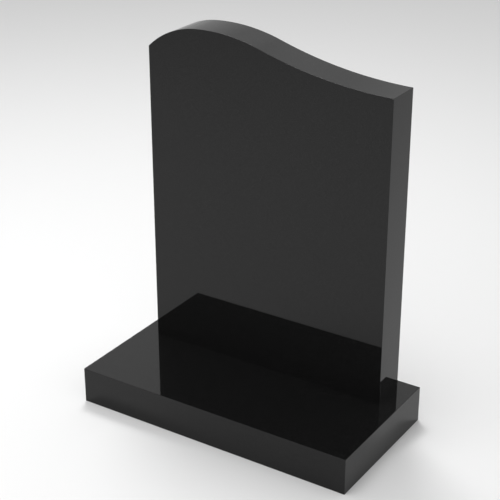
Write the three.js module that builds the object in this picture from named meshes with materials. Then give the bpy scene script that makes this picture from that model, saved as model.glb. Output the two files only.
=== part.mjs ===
// A lawn headstone of polished black granite: an upright stone with a half-ogee top, bedded near the
// back of a rectangular base slab that leaves a wide ledge in front. Every edge has a small chamfer.
// Units are millimetres. The origin is at the middle of the base's underside, X runs along the width,
// the inscription face looks towards -Y, and +Z is up.
import * as THREE from 'three';

// The base slab: 24 by 12 by 3 inches.
const BASE_WIDTH = 609.6;
const BASE_DEPTH = 304.8;
const BASE_HEIGHT = 76.2;

// The upright stone: 21 by 27 by 3 inches, with the base showing for 1 inch behind it.
const STONE_WIDTH = 533.4;
const STONE_HEIGHT = 685.8;
const STONE_THICKNESS = 76.2;
const REAR_LEDGE = 25.4;
const BED_JOINT = 0.3;

// The half-ogee top. Its crest is at the stone's full height and lies off to the left: the crest arc is
// continued by a tighter arc that drops to the left shoulder, and by a long hollow sweep that drops to
// the right shoulder and levels out there.
const LEFT_SHOULDER_DROP = 50.8;
const RIGHT_SHOULDER_DROP = 62;
const CREST_FROM_LEFT_SIDE = 139.7;
const CREST_RADIUS = 375;
const CREST_ARC_LEFT_REACH = 30;

// The chamfer on every edge, measured along each of the two faces that meet there.
const ARRIS = 1;

// ExtrudeGeometry divides each arc of an outline into twice this many chords.
const ARC_DIVISIONS = 24;

const polishedGranite = new THREE.MeshStandardMaterial({
  name: 'polished_black_granite',
  color: 0x101011,
  roughness: 0.05,
  metalness: 0,
});

// An arc's centre and radius, and the angle at which a point on it is seen from that centre.
function arc(centre, radius) {
  return {
    centre,
    radius,
    angleOf: (point) => Math.atan2(point.y - centre.y, point.x - centre.x),
  };
}

// The three arcs of the top, each tangent to the next, and the points where they join.
function halfOgee() {
  const leftShoulder = new THREE.Vector2(-STONE_WIDTH / 2, STONE_HEIGHT - LEFT_SHOULDER_DROP);
  const rightShoulder = new THREE.Vector2(STONE_WIDTH / 2, STONE_HEIGHT - RIGHT_SHOULDER_DROP);
  const crestX = leftShoulder.x + CREST_FROM_LEFT_SIDE;
  const crest = arc(new THREE.Vector2(crestX, STONE_HEIGHT - CREST_RADIUS), CREST_RADIUS);

  // The shoulder arc leaves the crest arc at its left end and passes through the left shoulder.
  const lean = Math.asin(CREST_ARC_LEFT_REACH / CREST_RADIUS);
  const outward = new THREE.Vector2(-Math.sin(lean), Math.cos(lean));
  const shoulderJoin = crest.centre.clone().addScaledVector(outward, CREST_RADIUS);
  const chord = leftShoulder.clone().sub(shoulderJoin);
  const shoulderRadius = -chord.lengthSq() / (2 * outward.dot(chord));
  const shoulderCentre = shoulderJoin.clone().addScaledVector(outward, -shoulderRadius);
  const shoulder = arc(shoulderCentre, shoulderRadius);

  // The sweep's centre is straight above the right shoulder, and the two radii together reach
  // from it to the crest arc's centre.
  const run = rightShoulder.x - crestX;
  const bothRadii = (run * run + RIGHT_SHOULDER_DROP * RIGHT_SHOULDER_DROP) / (2 * RIGHT_SHOULDER_DROP);
  const sweepRadius = bothRadii - CREST_RADIUS;
  const sweepCentre = new THREE.Vector2(rightShoulder.x, rightShoulder.y + sweepRadius);
  const sweep = arc(sweepCentre, sweepRadius);
  const sweepJoin = crest.centre.clone().lerp(sweepCentre, CREST_RADIUS / bothRadii);

  return { leftShoulder, rightShoulder, crest, shoulder, sweep, shoulderJoin, sweepJoin };
}

// The upright stone's face, with x across and y up from its bed.
function stoneOutline() {
  const top = halfOgee();
  const { leftShoulder, rightShoulder, crest, shoulder, sweep } = top;
  const left = leftShoulder.x;
  const right = rightShoulder.x;
  const outline = new THREE.Shape();
  outline.moveTo(left + ARRIS, 0);
  outline.lineTo(right - ARRIS, 0);
  outline.lineTo(right, ARRIS);
  outline.lineTo(right, rightShoulder.y - ARRIS);
  outline.absarc(
    sweep.centre.x, sweep.centre.y, sweep.radius,
    sweep.angleOf(rightShoulder) - ARRIS / sweep.radius, sweep.angleOf(top.sweepJoin), true,
  );
  outline.absarc(
    crest.centre.x, crest.centre.y, crest.radius,
    crest.angleOf(top.sweepJoin), crest.angleOf(top.shoulderJoin), false,
  );
  outline.absarc(
    shoulder.centre.x, shoulder.centre.y, shoulder.radius,
    shoulder.angleOf(top.shoulderJoin), shoulder.angleOf(leftShoulder) - ARRIS / shoulder.radius, false,
  );
  outline.lineTo(left, leftShoulder.y - ARRIS);
  outline.lineTo(left, ARRIS);
  outline.closePath();
  return outline;
}

// The base slab in plan, with its four corners cut off by the chamfer.
function baseOutline() {
  const x = BASE_WIDTH / 2;
  const y = BASE_DEPTH / 2;
  return new THREE.Shape([
    new THREE.Vector2(-x + ARRIS, -y),
    new THREE.Vector2(x - ARRIS, -y),
    new THREE.Vector2(x, -y + ARRIS),
    new THREE.Vector2(x, y - ARRIS),
    new THREE.Vector2(x - ARRIS, y),
    new THREE.Vector2(-x + ARRIS, y),
    new THREE.Vector2(-x, y - ARRIS),
    new THREE.Vector2(-x, -y + ARRIS),
  ]);
}

// A slab of the given thickness, from 0 upwards, whose two broad faces are chamfered all round.
function slab(name, outline, thickness) {
  const geometry = new THREE.ExtrudeGeometry(outline, {
    depth: thickness - 2 * ARRIS,
    curveSegments: ARC_DIVISIONS,
    bevelEnabled: true,
    bevelThickness: ARRIS,
    bevelSize: ARRIS,
    bevelOffset: -ARRIS,
    bevelSegments: 1,
  });
  geometry.translate(0, 0, ARRIS);
  const mesh = new THREE.Mesh(geometry, polishedGranite.clone());
  mesh.name = name;
  return mesh;
}

const base = slab('base', baseOutline(), BASE_HEIGHT);

// Turned upright, the slab's thickness runs forwards from its back face.
const headstone = slab('headstone', stoneOutline(), STONE_THICKNESS);
headstone.rotation.x = Math.PI / 2;
headstone.position.set(0, BASE_DEPTH / 2 - REAR_LEDGE, BASE_HEIGHT + BED_JOINT);

const memorial = new THREE.Group();
memorial.add(base, headstone);

export default memorial;
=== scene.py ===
from math import asin, atan2, cos, pi, radians, sin

import bmesh
import bpy
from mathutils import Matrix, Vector


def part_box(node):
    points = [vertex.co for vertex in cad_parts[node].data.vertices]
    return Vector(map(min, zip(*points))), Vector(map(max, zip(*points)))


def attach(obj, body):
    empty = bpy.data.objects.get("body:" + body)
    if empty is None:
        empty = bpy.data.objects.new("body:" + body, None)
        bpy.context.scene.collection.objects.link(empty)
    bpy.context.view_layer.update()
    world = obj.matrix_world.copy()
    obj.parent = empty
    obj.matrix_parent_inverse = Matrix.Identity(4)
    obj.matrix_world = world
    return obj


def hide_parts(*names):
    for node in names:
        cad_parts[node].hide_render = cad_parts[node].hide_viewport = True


# The photograph's camera, aimed at a point on the base's vertical axis.
CAMERA_AZIMUTH = radians(32.776)
CAMERA_ELEVATION = radians(25.126)
CAMERA_DISTANCE = 2.5654
CAMERA_TARGET_HEIGHT = 0.36084
CAMERA_LENS_MM = 95.9
CAMERA_SENSOR_MM = 36.0

# The half-ogee top, as in the solid model. Its arcs are drawn in chords of about ARC_CHORD.
LEFT_SHOULDER_DROP = 0.0508
RIGHT_SHOULDER_DROP = 0.062
CREST_FROM_LEFT_SIDE = 0.1397
CREST_RADIUS = 0.375
CREST_ARC_LEFT_REACH = 0.03
ARC_CHORD = 0.002

# The edges are eased by a small round where the surface turns by more than LEAST_EASED_TURN. Only the bed
# edges of the upright stone, whose ends are both level with its lowest point, stay square.
ARRIS_RADIUS = 0.0004
ARRIS_SEGMENTS = 4
LEAST_EASED_TURN = radians(20)
LEVEL_TOLERANCE = 0.000001

# Each piece's two materials, by their places in its list. A face is an underside, and left as sawn, where
# its normal's height is below UNDERSIDE_NORMAL_HEIGHT.
POLISHED_PLACE = 0
SAWN_PLACE = 1
UNDERSIDE_NORMAL_HEIGHT = -0.99

# The stone's grain: interlocked crystals, most of them black, some dark grey, some paler, and a few much
# paler flecks. Each pair has the share of crystals up to which a grey is used, and the grey, the share of
# light sent back. Finer crystals make each of them a little darker and paler from place to place.
CRYSTAL_WIDTH = 0.0005
FINE_CRYSTAL_WIDTH = 0.0002
CRYSTAL_GREYS = ((0.45, 0.003), (0.72, 0.006), (0.92, 0.010), (0.99, 0.018), (1.0, 0.05))
FINE_VARIATION = 0.5
CRYSTAL_CROOKEDNESS = 0.7
CROOKEDNESS_DETAIL = 1.0

# The stone mirrors its surroundings as dimly as in the photograph. An index of refraction lower than real
# granite's keeps the slanting reflections dim, and the tint raises the face-on ones again.
GRANITE_IOR = 1.27
GRANITE_SPECULAR_TINT = 1.74

# The mirror polish, whose gloss and height differ slightly from crystal to crystal.
POLISH_ROUGHNESS = 0.03
GLOSS_VARIATION = 0.4
POLISH_RELIEF = 0.000001

# The sawn underside, with the slightly wavering arcs that the blade leaves. At a scale of 1, the wave
# texture has a ring every pi / 10 units.
SAWN_GREYS = ((0.45, 0.03), (0.72, 0.04), (0.92, 0.055), (1.0, 0.09))
SAWN_ROUGHNESS = 0.6
SAW_RADIUS = 0.8
SAW_MARK_SPACING = 0.004
SAW_MARK_DEPTH = 0.0001
SAW_MARK_WAVER = 0.6
SAW_MARK_DETAIL = 2.0
WAVE_SCALE_FOR_UNIT_RINGS = pi / 10

# The pale floor, and the pale surround, which is the same all round. It starts as bright as the far floor
# and has a brighter band, and its fades run between heights that are sines of elevation.
FLOOR_HALF_WIDTH = 60.0
FLOOR_GREY = 0.8
SURROUND_AT_HORIZON = 0.57
SURROUND_BELOW_BAND = 0.66
SURROUND_BAND = 0.89
SURROUND_ABOVE_BAND = 0.62
HORIZON_FADE = (0.0, 0.12)
BAND_LOWER_FADE = (0.39, 0.52)
BAND_UPPER_FADE = (0.62, 0.80)

# A soft key light high up behind the stone's left side, and a wide soft pool of light from straight above.
# The bearing runs from the +X axis towards +Y, and powers are in watts.
KEY_AIM = (-0.1, -0.1, 0.0)
KEY_BEARING = radians(124.7)
KEY_ELEVATION = radians(63.3)
KEY_DISTANCE = 3.97
KEY_WIDTH = 1.1
KEY_SPREAD = radians(120)
KEY_POWER = 23.4
POOL_PLACE = (-0.66, -1.13, 4.6)
POOL_WIDTH = 2.4
POOL_SPREAD = radians(76)
POOL_POWER = 15.1


def set_grey(socket, level):
    socket.default_value = (level, level, level, 1)


def set_stops(ramp, stops, interpolation):
    """Gives a colour ramp its stops, each a position from 0 to 1 and a grey."""
    ramp.interpolation = interpolation
    while len(ramp.elements) < len(stops):
        ramp.elements.new(1.0)
    for element, (position, level) in zip(ramp.elements, stops):
        element.position = position
        element.color = (level, level, level, 1)


class Material:
    """A node material, with the few node chains that the stone's surfaces use."""

    def __init__(self, name):
        self.material = bpy.data.materials.new(name)
        self.material.use_nodes = True
        self.nodes = self.material.node_tree.nodes
        self.links = self.material.node_tree.links
        self.shader = self.nodes["Principled BSDF"]

    def node(self, kind, settings=None, **inputs):
        """A new node, with its settings and inputs. An underscore stands for a space in an input's name."""
        made = self.nodes.new(kind)
        for name, value in (settings or {}).items():
            setattr(made, name, value)
        for name, value in inputs.items():
            self.feed(made, name.replace("_", " "), value)
        return made

    def feed(self, node, name, value):
        if isinstance(value, bpy.types.NodeSocket):
            self.links.new(value, node.inputs[name])
        else:
            node.inputs[name].default_value = value

    def scaled(self, vector, factor):
        made = self.node("ShaderNodeVectorMath", {"operation": "SCALE"}, Scale=factor)
        self.links.new(vector, made.inputs[0])
        return made.outputs["Vector"]

    def place(self, width):
        """The point on the stone, measured in multiples of width."""
        point = self.node("ShaderNodeTexCoord")
        return self.scaled(point.outputs["Object"], 1 / width)

    def crystals(self, width):
        """Crooked cells of about that width, with three random numbers for each."""
        place = self.place(width)
        bends = self.node("ShaderNodeTexNoise", Vector=place, Scale=1.0, Detail=CROOKEDNESS_DETAIL)
        bent = self.node("ShaderNodeVectorMath", {"operation": "MULTIPLY_ADD"})
        self.links.new(bends.outputs["Color"], bent.inputs[0])
        bent.inputs[1].default_value = (CRYSTAL_CROOKEDNESS,) * 3
        self.links.new(place, bent.inputs[2])
        cells = self.node("ShaderNodeTexVoronoi", Vector=bent.outputs["Vector"], Scale=1.0, Randomness=1.0)
        return self.node("ShaderNodeSeparateColor", Color=cells.outputs["Color"]).outputs

    def varied(self, value, middle, share):
        """From middle less that share of it to middle plus that share, as the value goes from 0 to 1."""
        made = self.node(
            "ShaderNodeMapRange",
            Value=value,
            To_Min=middle * (1 - share),
            To_Max=middle * (1 + share),
        )
        return made.outputs["Result"]

    def greys(self, value, steps):
        """The grey for a value from 0 to 1: each step's grey is used up to its share."""
        made = self.node("ShaderNodeValToRGB", Fac=value)
        starts = [0.0] + [share for share, _ in steps[:-1]]
        levels = [level for _, level in steps]
        set_stops(made.color_ramp, list(zip(starts, levels)), "CONSTANT")
        return made.outputs["Color"]

    def relief(self, height, depth):
        """Small bumps in the surface, of that depth where the height goes from 0 to 1."""
        made = self.node("ShaderNodeBump", Height=height, Distance=depth, Strength=1.0)
        self.feed(self.shader, "Normal", made.outputs["Normal"])


def granite_shine(stone):
    stone.feed(stone.shader, "IOR", GRANITE_IOR)
    set_grey(stone.shader.inputs["Specular Tint"], GRANITE_SPECULAR_TINT)


def polished_granite():
    """Mirror-polished black granite: dark crystals, each with its own grey, gloss and tiny height."""
    stone = Material("polished_black_granite")
    tone, gloss, height = stone.crystals(CRYSTAL_WIDTH)
    fine_tone, _, _ = stone.crystals(FINE_CRYSTAL_WIDTH)
    grey = stone.scaled(stone.greys(tone, CRYSTAL_GREYS), stone.varied(fine_tone, 1.0, FINE_VARIATION))
    stone.feed(stone.shader, "Base Color", grey)
    stone.feed(stone.shader, "Roughness", stone.varied(gloss, POLISH_ROUGHNESS, GLOSS_VARIATION))
    stone.relief(height, POLISH_RELIEF)
    granite_shine(stone)
    return stone.material


def sawn_granite():
    """The underside, left as sawn: matt grey, with the shallow arcs that a large blade cuts."""
    stone = Material("sawn_black_granite")
    tone, _, _ = stone.crystals(CRYSTAL_WIDTH)
    stone.feed(stone.shader, "Base Color", stone.greys(tone, SAWN_GREYS))
    stone.feed(stone.shader, "Roughness", SAWN_ROUGHNESS)
    granite_shine(stone)
    from_blade = stone.node("ShaderNodeVectorMath", {"operation": "ADD"})
    stone.links.new(stone.place(SAW_MARK_SPACING), from_blade.inputs[0])
    from_blade.inputs[1].default_value = (SAW_RADIUS / SAW_MARK_SPACING, 0, 0)
    arcs = stone.node(
        "ShaderNodeTexWave",
        {"wave_type": "RINGS", "rings_direction": "Z"},
        Vector=from_blade.outputs["Vector"],
        Scale=WAVE_SCALE_FOR_UNIT_RINGS,
        Distortion=SAW_MARK_WAVER,
        Detail=SAW_MARK_DETAIL,
    )
    stone.relief(arcs.outputs["Fac"], SAW_MARK_DEPTH)
    return stone.material


def arc_points(centre, radius, start, end):
    """Points along an arc from start to end, in chords of about ARC_CHORD."""
    first = atan2(start.y - centre.y, start.x - centre.x)
    last = atan2(end.y - centre.y, end.x - centre.x)
    steps = max(1, round(abs(last - first) * radius / ARC_CHORD))
    angles = [first + (last - first) * step / steps for step in range(steps + 1)]
    return [(centre.x + radius * cos(a), centre.y + radius * sin(a)) for a in angles]


def half_ogee(left, right, crest_height):
    """The top's outline from the right shoulder to the left one: a sweep, the crest arc, a tighter arc."""
    left_shoulder = Vector((left, crest_height - LEFT_SHOULDER_DROP))
    right_shoulder = Vector((right, crest_height - RIGHT_SHOULDER_DROP))
    crest_centre = Vector((left + CREST_FROM_LEFT_SIDE, crest_height - CREST_RADIUS))

    # The tighter arc leaves the crest arc at its left end and passes through the left shoulder.
    lean = asin(CREST_ARC_LEFT_REACH / CREST_RADIUS)
    outward = Vector((-sin(lean), cos(lean)))
    shoulder_join = crest_centre + CREST_RADIUS * outward
    chord = left_shoulder - shoulder_join
    shoulder_radius = -chord.length_squared / (2 * outward.dot(chord))
    shoulder_centre = shoulder_join - shoulder_radius * outward

    # The sweep's centre is straight above the right shoulder, and the two radii together reach from it
    # to the crest arc's centre.
    run = right_shoulder.x - crest_centre.x
    both_radii = (run**2 + RIGHT_SHOULDER_DROP**2) / (2 * RIGHT_SHOULDER_DROP)
    sweep_radius = both_radii - CREST_RADIUS
    sweep_centre = right_shoulder + Vector((0, sweep_radius))
    sweep_join = crest_centre.lerp(sweep_centre, CREST_RADIUS / both_radii)

    sweep = arc_points(sweep_centre, sweep_radius, right_shoulder, sweep_join)
    crest = arc_points(crest_centre, CREST_RADIUS, sweep_join, shoulder_join)
    shoulder = arc_points(shoulder_centre, shoulder_radius, shoulder_join, left_shoulder)
    return sweep + crest[1:] + shoulder[1:]


def slab(name, outline, front, back, square_bed):
    """A slab between two planes across Y, from its outline seen from the front, with eased edges."""
    shape = bmesh.new()
    front_ring = [shape.verts.new((x, front, z)) for x, z in outline]
    back_ring = [shape.verts.new((x, back, z)) for x, z in outline]
    shape.faces.new(front_ring)
    shape.faces.new(list(reversed(back_ring)))
    count = len(outline)
    for i in range(count):
        j = (i + 1) % count
        shape.faces.new((front_ring[i], back_ring[i], back_ring[j], front_ring[j]))
    shape.normal_update()

    lowest = min(z for x, z in outline)
    weight = shape.edges.layers.float.new("bevel_weight_edge")
    for edge in shape.edges:
        on_bed = all(v.co.z < lowest + LEVEL_TOLERANCE for v in edge.verts)
        if square_bed and on_bed:
            edge.smooth = False
        elif edge.calc_face_angle() > LEAST_EASED_TURN:
            edge[weight] = 1.0
    for face in shape.faces:
        face.smooth = True
        underside = face.normal.z < UNDERSIDE_NORMAL_HEIGHT
        face.material_index = SAWN_PLACE if underside else POLISHED_PLACE

    mesh = bpy.data.meshes.new(name)
    shape.to_mesh(mesh)
    shape.free()
    piece = bpy.data.objects.new(name, mesh)
    bpy.context.scene.collection.objects.link(piece)
    arris = piece.modifiers.new("arris", "BEVEL")
    arris.limit_method = "WEIGHT"
    arris.width = ARRIS_RADIUS
    arris.segments = ARRIS_SEGMENTS
    arris.harden_normals = True
    arris.material = POLISHED_PLACE
    return piece


def floor():
    mesh = bpy.data.meshes.new("floor")
    w = FLOOR_HALF_WIDTH
    mesh.from_pydata([(-w, -w, 0), (w, -w, 0), (w, w, 0), (-w, w, 0)], [], [(0, 1, 2, 3)])
    paper = Material("floor")
    set_grey(paper.shader.inputs["Base Color"], FLOOR_GREY)
    paper.feed(paper.shader, "Roughness", 1.0)
    paper.feed(paper.shader, "Specular IOR Level", 0.0)
    mesh.materials.append(paper.material)
    plane = bpy.data.objects.new("floor", mesh)
    bpy.context.scene.collection.objects.link(plane)


def surround():
    """Light from all round, whose brightness depends on the height of its direction alone."""
    world = bpy.data.worlds.new("surround")
    world.use_nodes = True
    nodes = world.node_tree.nodes
    links = world.node_tree.links
    direction = nodes.new("ShaderNodeTexCoord")
    parts = nodes.new("ShaderNodeSeparateXYZ")
    links.new(direction.outputs["Generated"], parts.inputs["Vector"])
    ramp = nodes.new("ShaderNodeValToRGB")
    links.new(parts.outputs["Z"], ramp.inputs["Fac"])
    links.new(ramp.outputs["Color"], nodes["Background"].inputs["Color"])
    heights = HORIZON_FADE + BAND_LOWER_FADE + BAND_UPPER_FADE
    levels = (
        SURROUND_AT_HORIZON,
        SURROUND_BELOW_BAND,
        SURROUND_BELOW_BAND,
        SURROUND_BAND,
        SURROUND_BAND,
        SURROUND_ABOVE_BAND,
    )
    set_stops(ramp.color_ramp, list(zip(heights, levels)), "EASE")
    bpy.context.scene.world = world


def soft_light(name, place, aim, width, spread, power):
    """A round lamp of that width, which shines from its place towards its aim."""
    lamp = bpy.data.lights.new(name, "AREA")
    lamp.shape = "DISK"
    lamp.size = width
    lamp.spread = spread
    lamp.energy = power
    light = bpy.data.objects.new(name, lamp)
    light.location = place
    light.rotation_euler = (Vector(place) - Vector(aim)).to_track_quat("Z", "Y").to_euler()
    bpy.context.scene.collection.objects.link(light)


def studio_lights():
    across = cos(KEY_ELEVATION)
    towards_key = Vector((across * cos(KEY_BEARING), across * sin(KEY_BEARING), sin(KEY_ELEVATION)))
    key_place = Vector(KEY_AIM) + KEY_DISTANCE * towards_key
    soft_light("key", key_place, KEY_AIM, KEY_WIDTH, KEY_SPREAD, KEY_POWER)
    below_pool = (POOL_PLACE[0], POOL_PLACE[1], 0.0)
    soft_light("pool", POOL_PLACE, below_pool, POOL_WIDTH, POOL_SPREAD, POOL_POWER)


def camera():
    lens = bpy.data.cameras.new("camera")
    lens.lens = CAMERA_LENS_MM
    lens.sensor_width = CAMERA_SENSOR_MM
    lens.sensor_fit = "HORIZONTAL"
    view = bpy.data.objects.new("camera", lens)
    across = CAMERA_DISTANCE * cos(CAMERA_ELEVATION)
    view.location = (
        across * sin(CAMERA_AZIMUTH),
        -across * cos(CAMERA_AZIMUTH),
        CAMERA_TARGET_HEIGHT + CAMERA_DISTANCE * sin(CAMERA_ELEVATION),
    )
    view.rotation_euler = (radians(90) - CAMERA_ELEVATION, 0, CAMERA_AZIMUTH)
    bpy.context.scene.collection.objects.link(view)
    bpy.context.scene.camera = view


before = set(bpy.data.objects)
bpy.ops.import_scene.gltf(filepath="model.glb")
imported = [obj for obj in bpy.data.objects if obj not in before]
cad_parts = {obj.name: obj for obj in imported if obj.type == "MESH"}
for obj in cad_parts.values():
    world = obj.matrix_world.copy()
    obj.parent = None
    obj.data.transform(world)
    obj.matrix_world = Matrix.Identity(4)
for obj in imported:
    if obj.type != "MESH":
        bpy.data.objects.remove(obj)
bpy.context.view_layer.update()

camera()
floor()
surround()
studio_lights()
bpy.context.scene.view_settings.view_transform = "Standard"

granite = polished_granite()
sawn = sawn_granite()

# The upright stone is bedded down onto the base, without the thin gap that the solid model keeps there.
base_low, base_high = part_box("base")
low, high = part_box("headstone")
bed = base_high.z
upright_outline = [(low.x, bed), (high.x, bed)] + half_ogee(low.x, high.x, high.z)
headstone = slab("headstone_polished", upright_outline, low.y, high.y, square_bed=True)
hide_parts("headstone")

base_outline = [
    (base_low.x, base_low.z),
    (base_high.x, base_low.z),
    (base_high.x, base_high.z),
    (base_low.x, base_high.z),
]
base = slab("base_polished", base_outline, base_low.y, base_high.y, square_bed=False)
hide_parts("base")

for piece in (headstone, base):
    piece.data.materials.append(granite)
    piece.data.materials.append(sawn)
    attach(piece, "root")
